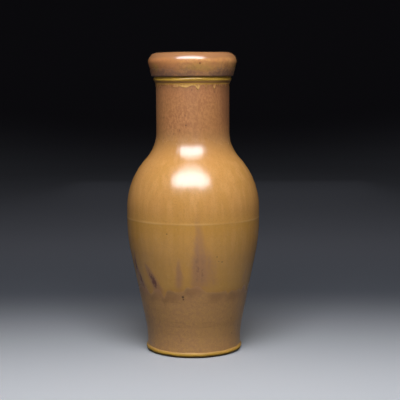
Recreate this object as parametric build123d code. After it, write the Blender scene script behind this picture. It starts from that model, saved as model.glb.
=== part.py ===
from build123d import *
import math
import os

# A stoneware vase thrown in sections, luted together with slip and glazed in poured coats.
# Millimetres, +Z up, origin on the table under the centre of the foot. Every piece goes round Z, so it is
# drawn as a half section of (radius, height) points and revolved. Clay sizes are without glaze.

# Clay sections
wall = 6.5                   # thickness of every thrown wall
waist_radius = 56.1          # outside of the foot, the floor and the foot of the lower section
belly_radius = 79.6          # outside of the belly, the widest part of the body
neck_radius = 43.6           # outside of the straight neck
lower_rise = 148.6           # waist up to the straight belly band
slope_length = 85.0          # straight slope between the two curves of the lower section
foot_sweep = 120.0           # radius of the hollow curve above the waist
band_below = 0.5             # straight belly below the seam's ridge
band_above = 7.6             # straight belly above the seam's ridge
shoulder_rise = 93.0         # belly band up to the straight neck
neck_sweep = 48.0            # radius of the hollow curve below the neck
neck_stub = 2.0              # straight neck that belongs to the shoulder section
neck_length = 63.7           # neck section, from its seam to the rim's seam

# Foot and floor
foot_height = 5.0            # foot ring, table to its seat
foot_width = 11.7            # foot ring, inside to outside
foot_bevel = 1.8             # bare bevel at the bottom edge of the foot ring
floor_rim = 4.4              # thickness of the floor between its two seats
floor_step = 2.2             # raised middle of the floor, which locates the wall
foot_step = 1.6              # lowered middle of the floor, which locates the foot ring

# Rim and neck bead
rim_height = 27.5            # rolled rim above its seam
rim_lip = 4.5                # radius of the inner edge of the rim
rim_crown = 0.4              # flat land on top of the rim
rim_corner = 10.5            # radius of the round outer edge of the rim
rim_ledge = 5.0              # how far the underside of the rim overhangs the neck
bead_gap = 0.8               # dark groove between the glazed rim and the glazed bead
bead_half = 1.9              # half the height of the bead, and the radius of its round front
bead_stem = 0.7              # straight part of the bead behind its round front

# Luted seams
slip = 0.4                   # thickness of the slip in every seam
joint_depth = 3.5            # depth of the V groove that takes the tongue of the section above
ridge_half = 1.3             # half the height of the slip ridge that stands out at the belly seam
ridge_height = 0.6           # how far that ridge stands out

# Glaze coats
base_coat = 0.5              # first coat outside, from the foot bevel to the bead
ochre_coat = 0.4             # second coat, poured over the shoulder and belly
rim_coat = 0.6               # coat over the rolled rim
collar_coat = 0.6            # coat over the bead
skirt_coat = 0.5             # thin skirt of that coat down the neck
skirt_drop = 4.5             # how far the skirt runs down below the bead's coat
liner_coat = 0.5             # coat inside
liner_pool = 5.0             # radius of the liner where it pools in the corner of the floor
foot_roll = 2.4              # how far the thick glaze roll round the foot stands out
foot_roll_height = 5.2       # height of that roll above the foot's bevel
ochre_below_neck = 17.0      # upper edge of the ochre pour, below the straight neck
ochre_above_waist = 62.0     # lower edge of the ochre pour, above the waist
gap_flare = 0.3              # width of a gap halfway up, as a share of its width at the lower edge

# Gaps that run up into the ochre pour: (degrees from the front towards +X, half width, height)
ochre_gaps = [
    (4, 9.0, 78.0), (-13, 4.5, 48.0), (-41, 5.0, 37.0), (-65, 5.0, 53.0), (-96, 5.0, 24.0),
    (-126, 7.0, 66.0), (-154, 4.5, 28.0), (178, 6.5, 52.0), (150, 5.0, 22.0), (118, 8.0, 62.0),
    (88, 5.0, 26.0), (58, 6.0, 36.0), (32, 5.0, 18.0),
]
# Drips below the skirt: (degrees from the front towards +X, half width, length)
skirt_drips = [
    (6, 2.6, 5.2), (-9, 2.0, 2.4), (-38, 2.0, 2.2), (-68, 2.4, 3.6), (-104, 2.0, 2.4),
    (-140, 2.4, 4.0), (-176, 2.0, 2.6), (147, 2.6, 4.8), (112, 2.0, 2.8), (80, 2.4, 4.4),
    (52, 2.2, 2.6), (31, 2.0, 3.4), (18, 1.8, 2.6),
]

# The ridge's round section, and half its height over the outermost coat
outer_coat = base_coat + ochre_coat
ridge_sweep = (ridge_half**2 + ridge_height**2) / (2 * ridge_height)
ridge_depth = ridge_sweep - ridge_height
ridge_spread = math.sqrt((ridge_sweep + outer_coat) ** 2 - (ridge_depth + outer_coat) ** 2)

# Heights of the seats and seams, stacked up from the table
floor_seat_low = foot_height + slip
floor_seat_top = floor_seat_low + floor_rim
wall_base = floor_seat_top + slip
waist = floor_seat_top + floor_step
belly_low = waist + lower_rise
belly_seam = belly_low + band_below + ridge_spread
belly_base = belly_seam + slip
belly_high = belly_base + ridge_spread + band_above
neck_start = belly_high + shoulder_rise
neck_seam = neck_start + neck_stub
neck_base = neck_seam + slip
rim_seam = neck_base + neck_length
rim_base = rim_seam + slip
rim_top = rim_base + rim_height
bead_middle = rim_base - rim_coat - bead_gap - collar_coat - bead_half
bead_coat_low = bead_middle - bead_half - collar_coat
ochre_bottom = waist + ochre_above_waist
ochre_top = neck_start - ochre_below_neck

# Radii that follow from the sizes above
mouth_radius = neck_radius - wall
rim_radius = mouth_radius + rim_lip + rim_crown + rim_corner
foot_inner_radius = waist_radius - foot_width
foot_step_radius = foot_inner_radius - slip
floor_step_radius = waist_radius - wall - slip
bead_center = (neck_radius + bead_stem, bead_middle)


def polyline(*points):
    return [Line(a, b) for a, b in zip(points, points[1:])]


def arc(center, radius, start, end):
    return CenterArc(center, radius, start, end - start)


def ring(edges):
    return revolve(Plane.XZ * make_face(edges), Axis.Z)


def coat(outline, back_offset, front_offset):
    """A layer between two offsets of an open outline, closed by a straight edge at each end."""
    back = outline(back_offset)
    front = outline(front_offset)
    return [*back, *front, Line(back[0] @ 0, front[0] @ 0), Line(back[-1] @ 1, front[-1] @ 1)]


def facing(angle):
    """The upright plane through the axis that looks outwards, angle degrees from the front towards +X."""
    turn = math.radians(angle)
    sideways = (math.cos(turn), math.sin(turn), 0)
    outwards = (math.sin(turn), -math.cos(turn), 0)
    return Plane((0, 0, 0), x_dir=sideways, z_dir=outwards)


def lower_curve(offset, lift=0):
    """Hollow curve, slope and round curve from the waist to the belly, starting lift above the waist."""
    spread = belly_radius - waist_radius
    lean = 2 * math.atan(spread / (lower_rise + slope_length))
    belly_sweep = (lower_rise - slope_length * math.cos(lean)) / math.sin(lean) - foot_sweep
    lean = math.degrees(lean)
    start = 180 - math.degrees(math.asin(lift / (foot_sweep - offset)))
    hollow = arc((waist_radius + foot_sweep, waist), foot_sweep - offset, start, 180 - lean)
    bulge = arc((belly_radius - belly_sweep, belly_low), belly_sweep + offset, -lean, 0)
    return [hollow, Line(hollow @ 1, bulge @ 0), bulge]


def shoulder_curve(offset):
    """Round shoulder that runs into the hollow curve below the neck. The two radii add up to reach."""
    inset = belly_radius - neck_radius
    reach = (inset**2 + shoulder_rise**2) / (2 * inset)
    round_sweep = reach - neck_sweep
    round_center = (belly_radius - round_sweep, belly_high)
    hollow_center = (neck_radius + neck_sweep, neck_start)
    turn = math.degrees(math.atan2(shoulder_rise, hollow_center[0] - round_center[0]))
    return [
        arc(round_center, round_sweep + offset, 0, turn),
        arc(hollow_center, neck_sweep - offset, 180 + turn, 180),
    ]


def ridge_curve(offset):
    """The slip ridge at the belly seam: one arc that leaves the straight band and meets it again."""
    half_turn = math.degrees(math.acos((ridge_depth + offset) / (ridge_sweep + offset)))
    center = (belly_radius - ridge_depth, belly_seam + slip / 2)
    return arc(center, ridge_sweep + offset, -half_turn, half_turn)


def body_outline(offset):
    """Outside of the body from the waist over the belly ridge to the start of the neck."""
    lower = lower_curve(offset)
    ridge = ridge_curve(offset)
    shoulder = shoulder_curve(offset)
    return [*lower, Line(lower[-1] @ 1, ridge @ 0), ridge, Line(ridge @ 1, shoulder[0] @ 0), *shoulder]


def outer_outline(offset):
    """The body outline carried down to the foot's bevel and up the neck to the bead's coat."""
    body = body_outline(offset)
    return [
        Line((waist_radius + offset, foot_bevel), body[0] @ 0),
        *body,
        Line(body[-1] @ 1, (neck_radius + offset, bead_coat_low)),
    ]


def inner_outline(offset):
    """Inside of the vase from the middle of the floor to the rim's lip, at an offset towards the hollow."""
    lower = lower_curve(-wall - offset, lift=offset)
    shoulder = shoulder_curve(-wall - offset)
    return [
        Line((0, waist + offset), lower[0] @ 0),
        *lower,
        Line(lower[-1] @ 1, shoulder[0] @ 0),
        *shoulder,
        Line(shoulder[-1] @ 1, (mouth_radius - offset, rim_top - rim_lip)),
    ]


def rim_outline(offset):
    """Outside of the rolled rim: lip, crown, round edge, leaning flank and the underside of the overhang."""
    lip_center = (mouth_radius + rim_lip, rim_top - rim_lip)
    corner_center = (rim_radius - rim_corner, rim_top - rim_corner)
    across = corner_center[0] - neck_radius - rim_ledge
    rise = corner_center[1] - rim_base
    lean = math.asin(rim_corner / math.hypot(across, rise)) + math.atan2(across, rise)
    lip = arc(lip_center, rim_lip + offset, 180, 90)
    corner = arc(corner_center, rim_corner + offset, 90, -math.degrees(lean))
    overhang = neck_radius + rim_ledge + offset * (1 / math.cos(lean) - math.tan(lean))
    low = rim_base - offset
    return [
        lip,
        Line(lip @ 1, corner @ 0),
        corner,
        *polyline(corner @ 1, (overhang, low), (neck_radius, low)),
    ]


def groove(height, radius):
    """V groove in the top of a wall with that outer radius. The tongue above has the same outline."""
    return polyline((radius, height), (radius - wall / 2, height - joint_depth), (radius - wall, height))


def seam_slip(height, radius):
    """Slip between a groove and the tongue above it."""
    low = groove(height, radius)
    high = groove(height + slip, radius)
    return [*low, *high, Line(low[0] @ 0, high[0] @ 0), Line(low[-1] @ 1, high[-1] @ 1)]


def make_foot_ring():
    return ring(
        polyline(
            (foot_inner_radius, 0),
            (waist_radius - foot_bevel, 0),
            (waist_radius, foot_bevel),
            (waist_radius, foot_height),
            (foot_inner_radius, foot_height),
            (foot_inner_radius, 0),
        )
    )


def make_foot_slip():
    boss_low = floor_seat_low - foot_step
    return ring(
        polyline(
            (foot_step_radius, boss_low),
            (foot_inner_radius, boss_low),
            (foot_inner_radius, foot_height),
            (waist_radius, foot_height),
            (waist_radius, floor_seat_low),
            (foot_step_radius, floor_seat_low),
            (foot_step_radius, boss_low),
        )
    )


def make_floor_disc():
    return ring(
        polyline(
            (0, floor_seat_low - foot_step),
            (foot_step_radius, floor_seat_low - foot_step),
            (foot_step_radius, floor_seat_low),
            (waist_radius, floor_seat_low),
            (waist_radius, floor_seat_top),
            (floor_step_radius, floor_seat_top),
            (floor_step_radius, waist),
            (0, waist),
            (0, floor_seat_low - foot_step),
        )
    )


def make_floor_slip():
    return ring(
        polyline(
            (floor_step_radius, floor_seat_top),
            (waist_radius, floor_seat_top),
            (waist_radius, wall_base),
            (waist_radius - wall, wall_base),
            (waist_radius - wall, waist),
            (floor_step_radius, waist),
            (floor_step_radius, floor_seat_top),
        )
    )


def make_lower_body():
    outside = lower_curve(0)
    inside = lower_curve(-wall)
    seat = [(waist_radius, wall_base), (waist_radius - wall, wall_base)]
    return ring(
        [
            *polyline(outside[0] @ 0, *seat, inside[0] @ 0),
            *outside,
            *inside,
            Line(outside[-1] @ 1, (belly_radius, belly_seam)),
            Line(inside[-1] @ 1, (belly_radius - wall, belly_seam)),
            *groove(belly_seam, belly_radius),
        ]
    )


def make_belly_slip():
    ridge = ridge_curve(0)
    low = groove(belly_seam, belly_radius)
    high = groove(belly_base, belly_radius)
    return ring(
        [
            ridge,
            Line(ridge @ 0, low[0] @ 0),
            Line(ridge @ 1, high[0] @ 0),
            *low,
            *high,
            Line(low[-1] @ 1, high[-1] @ 1),
        ]
    )


def make_upper_body():
    outside = shoulder_curve(0)
    inside = shoulder_curve(-wall)
    return ring(
        [
            *groove(belly_base, belly_radius),
            Line((belly_radius, belly_base), outside[0] @ 0),
            Line((belly_radius - wall, belly_base), inside[0] @ 0),
            *outside,
            *inside,
            Line(outside[-1] @ 1, (neck_radius, neck_seam)),
            Line(inside[-1] @ 1, (mouth_radius, neck_seam)),
            *groove(neck_seam, neck_radius),
        ]
    )


def make_neck():
    return ring(
        [
            *groove(neck_base, neck_radius),
            Line((neck_radius, neck_base), (neck_radius, rim_seam)),
            Line((mouth_radius, neck_base), (mouth_radius, rim_seam)),
            *groove(rim_seam, neck_radius),
        ]
    )


def bead_outline():
    """Outside of the bead from the neck below it, round its front, to the neck above it."""
    front = arc(bead_center, bead_half, -90, 90)
    return [
        Line((neck_radius, bead_middle - bead_half), front @ 0),
        front,
        Line(front @ 1, (neck_radius, bead_middle + bead_half)),
    ]


def make_neck_bead():
    outside = bead_outline()
    return ring([*outside, Line(outside[0] @ 0, outside[-1] @ 1)])


def make_rolled_rim():
    outside = rim_outline(0)
    return ring(
        [
            *outside,
            *groove(rim_base, neck_radius),
            Line((mouth_radius, rim_base), outside[0] @ 0),
        ]
    )


def make_base_glaze():
    return ring(coat(outer_outline, 0, base_coat))


def make_ochre_gap(angle, half_width, height):
    """A gap, pointed at the top and flared at the lower edge, cut out from the axis through the pour."""
    low = ochre_bottom - half_width
    top = ochre_bottom + height
    middle = (low + top) / 2
    inset = half_width * gap_flare
    left = [(-half_width, low), (-inset, middle)]
    right = [(inset, middle), (half_width, low)]
    outline = make_face(polyline(*left, (0, top), *right, left[0]))
    reach = belly_radius + ridge_height + outer_coat + wall
    return extrude(facing(angle) * outline, amount=reach)


def make_ochre_glaze():
    pour = ring(coat(body_outline, base_coat, outer_coat))
    pour = split(pour, Plane.XY.offset(ochre_bottom), keep=Keep.TOP)
    pour = split(pour, Plane.XY.offset(ochre_top), keep=Keep.BOTTOM)
    for gap in ochre_gaps:
        pour -= make_ochre_gap(*gap)
    return pour


def make_skirt_drip(angle, half_width, length):
    """A round-ended drip on the neck that hangs from the lower edge of the skirt."""
    back = neck_radius + base_coat
    front = back + skirt_coat
    top = bead_coat_low - skirt_drop
    low = top - length
    tip = low + half_width
    film = ring(polyline((back, low), (front, low), (front, top), (back, top), (back, low)))
    sides = polyline((-half_width, tip), (-half_width, top), (half_width, top), (half_width, tip))
    outline = make_face([*sides, arc((0, tip), half_width, 0, -180)])
    return film & extrude(facing(angle) * outline, amount=front + wall)


def make_collar_glaze():
    back = neck_radius + base_coat
    front = back + skirt_coat
    low = bead_coat_low - skirt_drop
    reach = bead_half + collar_coat
    turn = math.degrees(math.acos((front - bead_center[0]) / reach))
    over_bead = arc(bead_center, reach, -turn, 90)
    bead = bead_outline()
    collar = ring(
        [
            *bead,
            over_bead,
            *polyline(over_bead @ 1, (neck_radius, bead_middle + reach), bead[-1] @ 1),
            *polyline(bead[0] @ 0, (neck_radius, bead_coat_low), (back, bead_coat_low), (back, low)),
            *polyline((back, low), (front, low), over_bead @ 0),
        ]
    )
    for drip in skirt_drips:
        collar += make_skirt_drip(*drip)
    return collar


def make_rim_glaze():
    return ring(coat(rim_outline, 0, rim_coat))


def make_foot_glaze():
    back = waist_radius + base_coat
    low = (back, foot_bevel)
    high = (back, foot_bevel + foot_roll_height)
    front = (back + foot_roll, foot_bevel + foot_roll_height / 2)
    return ring([ThreePointArc(low, front, high), Line(low, high)])


def make_liner_glaze():
    liner = make_face(coat(inner_outline, 0, liner_coat))
    corner = liner.vertices().sort_by_distance((waist_radius - wall - liner_coat, waist + liner_coat))[0]
    return revolve(Plane.XZ * fillet(corner, liner_pool), Axis.Z)


pieces = {
    "foot_ring": make_foot_ring(),
    "floor_disc": make_floor_disc(),
    "lower_body": make_lower_body(),
    "upper_body": make_upper_body(),
    "neck": make_neck(),
    "neck_bead": make_neck_bead(),
    "rolled_rim": make_rolled_rim(),
    "foot_slip": make_foot_slip(),
    "floor_slip": make_floor_slip(),
    "belly_slip": make_belly_slip(),
    "neck_slip": ring(seam_slip(neck_seam, neck_radius)),
    "rim_slip": ring(seam_slip(rim_seam, neck_radius)),
    "base_glaze": make_base_glaze(),
    "ochre_glaze": make_ochre_glaze(),
    "collar_glaze": make_collar_glaze(),
    "rim_glaze": make_rim_glaze(),
    "foot_glaze": make_foot_glaze(),
    "liner_glaze": make_liner_glaze(),
}

os.makedirs("parts", exist_ok=True)
for name, piece in pieces.items():
    export_step(piece, f"parts/{name}.step")
    print(f"{name}: {len(piece.solids())} solid, {piece.volume / 1000:.2f} cm3")
print(f"finished height {rim_top + rim_coat:.1f} mm")
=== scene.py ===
import math
import bpy
import numpy as np
from mathutils import Matrix


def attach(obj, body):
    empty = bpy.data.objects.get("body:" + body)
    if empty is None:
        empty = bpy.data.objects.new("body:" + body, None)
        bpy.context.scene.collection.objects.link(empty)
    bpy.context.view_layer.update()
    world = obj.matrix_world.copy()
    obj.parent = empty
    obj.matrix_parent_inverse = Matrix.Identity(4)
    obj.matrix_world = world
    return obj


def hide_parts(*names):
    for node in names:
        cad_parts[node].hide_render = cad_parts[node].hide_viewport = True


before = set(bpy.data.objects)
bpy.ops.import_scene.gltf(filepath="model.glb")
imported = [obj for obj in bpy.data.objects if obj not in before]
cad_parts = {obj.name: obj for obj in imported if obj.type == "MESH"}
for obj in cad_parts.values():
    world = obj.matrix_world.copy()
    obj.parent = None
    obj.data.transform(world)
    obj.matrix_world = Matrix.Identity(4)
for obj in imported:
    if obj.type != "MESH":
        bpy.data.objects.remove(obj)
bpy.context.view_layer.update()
bpy.ops.object.select_all(action="DESELECT")
bpy.context.scene.view_settings.view_transform = "Standard"
print("frame loaded:", len(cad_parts), "nodes")


# camera, where the photo was taken from
photoView = {
    "place": (0.0083, -1.341, 0.3366),
    "lookDown": 6.57,  # degrees
    "roll": -0.307,
    "lens": 100.0,
    "sensor": 36.0,
}


def addCamera():
    tilt = Matrix.Rotation(math.radians(90 - photoView["lookDown"]), 3, "X")
    roll = Matrix.Rotation(math.radians(photoView["roll"]), 3, "Z")
    bpy.ops.object.camera_add(location=photoView["place"], rotation=(tilt @ roll).to_euler())
    camera = bpy.context.object
    camera.name = "photoCamera"
    camera.data.lens = photoView["lens"]
    camera.data.sensor_width = photoView["sensor"]
    bpy.context.scene.camera = camera


addCamera()
print("camera placed")


# nodes for the materials
def newMaterial(name):
    material = bpy.data.materials.new(name)
    material.use_nodes = True
    tree = material.node_tree
    tree.nodes.clear()
    shader = added(tree, "BsdfPrincipled", {})
    added(tree, "OutputMaterial", {"Surface": shader.outputs["BSDF"]})
    space = added(tree, "TexCoord", {}).outputs["Object"]
    return material, tree, shader, space


def plug(tree, value, socket):
    # a text is the name of a painted layer
    if isinstance(value, str):
        node = tree.nodes.new("ShaderNodeAttribute")
        node.attribute_name = value
        value = node.outputs["Fac"]
    if isinstance(value, bpy.types.NodeSocket):
        tree.links.new(value, socket)
    else:
        socket.default_value = (*value, 1.0) if socket.type == "RGBA" else value


def fill(tree, node, inputs):
    for socket, value in inputs.items():
        plug(tree, value, node.inputs[socket])
    return node


def added(tree, kind, inputs):
    return fill(tree, tree.nodes.new("ShaderNode" + kind), inputs)


def stretched(tree, vector, scale):
    return added(tree, "Mapping", {"Vector": vector, "Scale": scale}).outputs["Vector"]


def noise(tree, vector, scale, detail, rough, up=1):
    # up below 1 draws the noise out along the axis, above 1 flattens it
    if up != 1:
        vector = stretched(tree, vector, (1, 1, up))
    inputs = {"Vector": vector, "Scale": scale, "Detail": detail, "Roughness": rough}
    return added(tree, "TexNoise", inputs).outputs[0]


def ranged(tree, value, low, high, toLow=0.0, toHigh=1.0):
    inputs = {"Value": value, "From Min": low, "From Max": high, "To Min": toLow, "To Max": toHigh}
    node = added(tree, "MapRange", inputs)
    node.interpolation_type = "SMOOTHSTEP"
    return node.outputs["Result"]


def mathNode(tree, operation, a, b):
    node = added(tree, "Math", {0: a, 1: b})
    node.operation = operation
    return node.outputs[0]


def times(tree, a, b):
    return mathNode(tree, "MULTIPLY", a, b)


def plus(tree, a, b):
    return mathNode(tree, "ADD", a, b)


def blended(tree, factor, first, second):
    node = added(tree, "Mix", {})
    node.data_type = "RGBA"  # its colours go in at 6 and 7 and come out at 2
    return fill(tree, node, {0: factor, 6: first, 7: second}).outputs[2]


def toned(tree, value, low, high, first, second, share=1.0):
    # from the first colour to the second while the value goes from low to high
    return blended(tree, ranged(tree, value, low, high, 0.0, share), first, second)


def layered(tree, tone, layers):
    # each layer: value, low, high, colour and, if it isn't whole, its share
    for value, low, high, tint, *share in layers:
        tone = toned(tree, value, low, high, tone, tint, *share)
    return tone


def specks(tree, vector, scale, size, share):
    # round spots: one in each voronoi cell, kept in a share of the cells
    cells = added(tree, "TexVoronoi", {"Vector": vector, "Scale": scale})
    parts = added(tree, "SeparateColor", {0: cells.outputs["Color"]})
    spot = ranged(tree, cells.outputs["Distance"], size, size * 0.45)
    kept = ranged(tree, parts.outputs[0], 1.0 - share, 1.0 - share * 0.55)
    return times(tree, spot, kept)


def distance(tree, vector, place):
    node = added(tree, "VectorMath", {0: vector, 1: place})
    node.operation = "DISTANCE"
    return node.outputs["Value"]


def spotAt(tree, vector, place, size):
    # one spot at a place on the vase
    return ranged(tree, distance(tree, vector, place), size, size * 0.4)


def bumped(tree, shader, height, strength, depth):
    node = added(tree, "Bump", {"Strength": strength, "Distance": depth, "Height": height})
    fill(tree, shader, {"Normal": node.outputs["Normal"]})


def glazed(tree, shader, tone, rough, index):
    fill(tree, shader, {"Base Color": tone, "Roughness": rough, "IOR": index})


# shaping
def sweep(center, radius, start, end, spacing, hollow=False):
    # points of an arc with their outward direction: (radius, height, outR, outZ)
    count = max(2, math.ceil(radius * abs(math.radians(end - start)) / spacing))
    side = -1 if hollow else 1
    points = []
    for step in range(count + 1):
        angle = math.radians(start + (end - start) * step / count)
        r, z = math.cos(angle), math.sin(angle)
        points.append((center[0] + radius * r, center[1] + radius * z, side * r, side * z))
    return points


def straight(start, end, out, spacing):
    count = max(1, math.ceil(math.dist(start, end) / spacing))
    points = []
    for step in range(count + 1):
        share = step / count
        points.append((*(a + (b - a) * share for a, b in zip(start, end)), *out))
    return points


def joined(*stretches):
    points = list(stretches[0])
    for stretch in stretches[1:]:
        points += stretch[1:]
    return np.array(points)


def lifted(outline, offset):
    return outline[:, :2] + outline[:, 2:] * offset


def weld():
    bpy.ops.mesh.select_all(action="SELECT")
    bpy.ops.mesh.remove_doubles(threshold=1e-6)


def spinShell(name, loop, columns, closed=True):
    # one vertex drawn out along the loop, then spun round the axis; gives the shell and what rowsOf says
    bpy.ops.object.select_all(action="DESELECT")
    bpy.ops.mesh.primitive_plane_add(size=0.001, location=(0, 0, 0))
    shell = bpy.context.object
    shell.name = name
    shell.data.name = name
    bpy.ops.object.mode_set(mode="EDIT")
    bpy.ops.mesh.select_all(action="SELECT")
    bpy.ops.mesh.merge(type="CENTER")
    bpy.ops.transform.translate(value=(0, -loop[0][0], loop[0][1]))
    ends = list(loop[1:]) + ([loop[0]] if closed else [])
    for before, after in zip(loop, ends):
        step = (0, float(before[0] - after[0]), float(after[1] - before[1]))
        bpy.ops.mesh.extrude_vertices_move(TRANSFORM_OT_translate={"value": step})
    weld()
    bpy.ops.mesh.spin(steps=columns, angle=2 * math.pi, center=(0, 0, 0), axis=(0, 0, 1))
    weld()
    bpy.ops.mesh.normals_make_consistent(inside=False)
    bpy.ops.object.mode_set(mode="OBJECT")
    bpy.ops.object.shade_smooth()
    return shell, *rowsOf(shell, loop)


def rowsOf(shell, loop):
    # the loop point that each vertex was spun from, and its angle from the front towards +X
    count = len(shell.data.vertices)
    places = np.empty(count * 3, np.float32)
    shell.data.vertices.foreach_get("co", places)
    places = places.reshape(-1, 3).astype(float)
    reach = np.hypot(places[:, 0], places[:, 1])
    rows = np.empty(count, int)
    chunk = 4000  # vertices compared at a time
    for start in range(0, count, chunk):
        part = slice(start, start + chunk)
        gaps = (reach[part, None] - loop[None, :, 0]) ** 2
        gaps += (places[part, 2, None] - loop[None, :, 1]) ** 2
        rows[part] = gaps.argmin(axis=1)
    return rows, np.degrees(np.arctan2(places[:, 0], -places[:, 1]))


def movePoints(shell, reach, heights, turns):
    angles = np.radians(turns)
    places = np.stack([reach * np.sin(angles), -reach * np.cos(angles), heights], axis=1)
    shell.data.vertices.foreach_set("co", places.astype(np.float32).ravel())
    shell.data.update()


def paint(shell, name, values):
    layer = shell.data.attributes.new(name, "FLOAT", "POINT")
    layer.data.foreach_set("value", np.clip(values, 0, 1).astype(np.float32))


def smooth(values, low, high):
    share = np.clip((values - low) / (high - low), 0, 1)
    return share * share * (3 - 2 * share)


def bell(values, half, power=2):
    # 1 in the middle, falling off on both sides
    return np.exp(-(np.abs(values / half) ** power))


def waves(turns, heights, seed, around, up, layers=7):
    # soft noise that closes round the axis; up is in waves per metre
    draw = np.random.default_rng(seed)
    total = np.zeros(np.shape(turns))
    for _ in range(layers):
        cycles = draw.integers(around[0], around[1] + 1)
        rise = draw.uniform(up[0], up[1]) * draw.choice((-1, 1))
        phase = draw.uniform(0, 2 * math.pi)
        total += np.cos(cycles * np.radians(turns) + 2 * math.pi * rise * heights + phase)
    return total * math.sqrt(2 / layers)


def ripples(turns, seed, around, layers=7):
    return waves(turns, 0.0, seed, around, (0, 0), layers)


def apart(turns, center):
    return (turns - center + 180) % 360 - 180


def near(turns, center, half, power=2):
    return bell(apart(turns, center), half, power)


def finishPiece(shell, material, slot, *nodes):
    shell.data.materials.clear()
    shell.data.materials.append(material)
    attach(shell, "root")
    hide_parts(*nodes)
    print(shell.name, len(shell.data.vertices), "points")


# clay outside, as in the frame
bodyForm = {
    "waistRadius": 0.0561,
    "bellyRadius": 0.0796,
    "neckRadius": 0.0436,
    "lowerRise": 0.1486,
    "slopeLength": 0.085,
    "footSweep": 0.12,
    "shoulderRise": 0.093,
    "neckSweep": 0.048,
    "waist": 0.012,
    "bellyHigh": 0.17243,
    "wall": 0.0065,
    "ridgeMiddle": 0.16296,  # slip ridge under the belt line
    "ridgeHalf": 0.0019,
    "ridgeHeight": 0.0006,
    "ridgeShows": 0.2,  # share of the ridge that still shows through the glaze
    "line": (0.0018, 0.33, 0.0004),  # ends and spacing of the outline that heights are looked up on
}


def bodyOutline(low, top, spacings, inward=0.0):
    # foot, lower curve, band, shoulder and neck; inward gives the inside of the wall
    form = bodyForm
    foot, middle, band, upper, straightNeck = spacings
    waist, belly, neck = form["waistRadius"], form["bellyRadius"], form["neckRadius"]
    rise, slope, shoulder = form["lowerRise"], form["slopeLength"], form["shoulderRise"]
    footSweep, neckSweep, bellyHigh = form["footSweep"], form["neckSweep"], form["bellyHigh"]
    lean = 2 * math.atan((belly - waist) / (rise + slope))
    leanTurn = math.degrees(lean)
    bellySweep = (rise - slope * math.cos(lean)) / math.sin(lean) - footSweep
    bellyLow = form["waist"] + rise
    inset = belly - neck
    roundSweep = (inset ** 2 + shoulder ** 2) / (2 * inset) - neckSweep
    roundCenter = (belly - roundSweep, bellyHigh)
    neckStart = bellyHigh + shoulder
    hollowCenter = (neck + neckSweep, neckStart)
    turn = math.degrees(math.atan2(shoulder, hollowCenter[0] - roundCenter[0]))
    footCenter = (waist + footSweep, form["waist"])
    hollow = sweep(footCenter, footSweep + inward, 180, 180 - leanTurn, foot, True)
    bulge = sweep((belly - bellySweep, bellyLow), bellySweep - inward, -leanTurn, 0, middle)
    slopeOut = (math.cos(lean), -math.sin(lean))
    waist, belly, neck = waist - inward, belly - inward, neck - inward
    return joined(
        straight((waist, low), (waist, form["waist"]), (1, 0), foot),
        hollow,
        straight(hollow[-1][:2], bulge[0][:2], slopeOut, foot),
        bulge,
        straight((belly, bellyLow), (belly, bellyHigh), (1, 0), band),
        sweep(roundCenter, roundSweep - inward, 0, turn, upper),
        sweep(hollowCenter, neckSweep + inward, 180 + turn, 180, upper, True),
        straight((neck, neckStart), (neck, top), (1, 0), straightNeck),
    )


clayLine = bodyOutline(*bodyForm["line"][:2], bodyForm["line"][2:] * 5)


def onClay(heights):
    return [np.interp(heights, clayLine[:, 1], clayLine[:, part]) for part in (0, 2, 3)]


# throwing rings, drawn up in a slow spiral, and the ridge at the belly seam
throwing = {
    "pitch": 0.0137,
    "depth": 0.00004,
    "drift": 0.35,
    "softer": (0.75, 0.1, 0.2),  # share by which the rings weaken, and between which heights
    "lines": [(0.068, 0.00005), (0.043, 0.00004), (0.0373, 0.00004)],  # height, depth
    "lineHalf": 0.001,
    "lineTilt": 0.0006,
    "outOfRound": 0.0001,
}


def lineLevel(height, turns):
    return height + throwing["lineTilt"] * np.sin(np.radians(turns) + 40 * height)


def throwingRings(turns, heights):
    share, start, end = throwing["softer"]
    softened = 1.0 - share * smooth(heights, start, end)
    drift = throwing["drift"] * waves(turns, heights, 11, (1, 3), (2, 9))
    phase = 2 * math.pi * (heights / throwing["pitch"] + turns / 360) + drift
    moves = throwing["depth"] * softened * np.sin(phase)
    for height, depth in throwing["lines"]:
        moves -= depth * bell(heights - lineLevel(height, turns), throwing["lineHalf"])
    moves += throwing["outOfRound"] * waves(turns, heights, 12, (2, 3), (0.5, 3), 3)
    return moves


def seamRidge(heights):
    bump = 1 - ((heights - bodyForm["ridgeMiddle"]) / bodyForm["ridgeHalf"]) ** 2
    return bodyForm["ridgeHeight"] * np.clip(bump, 0, 1) ** 1.4


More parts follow.
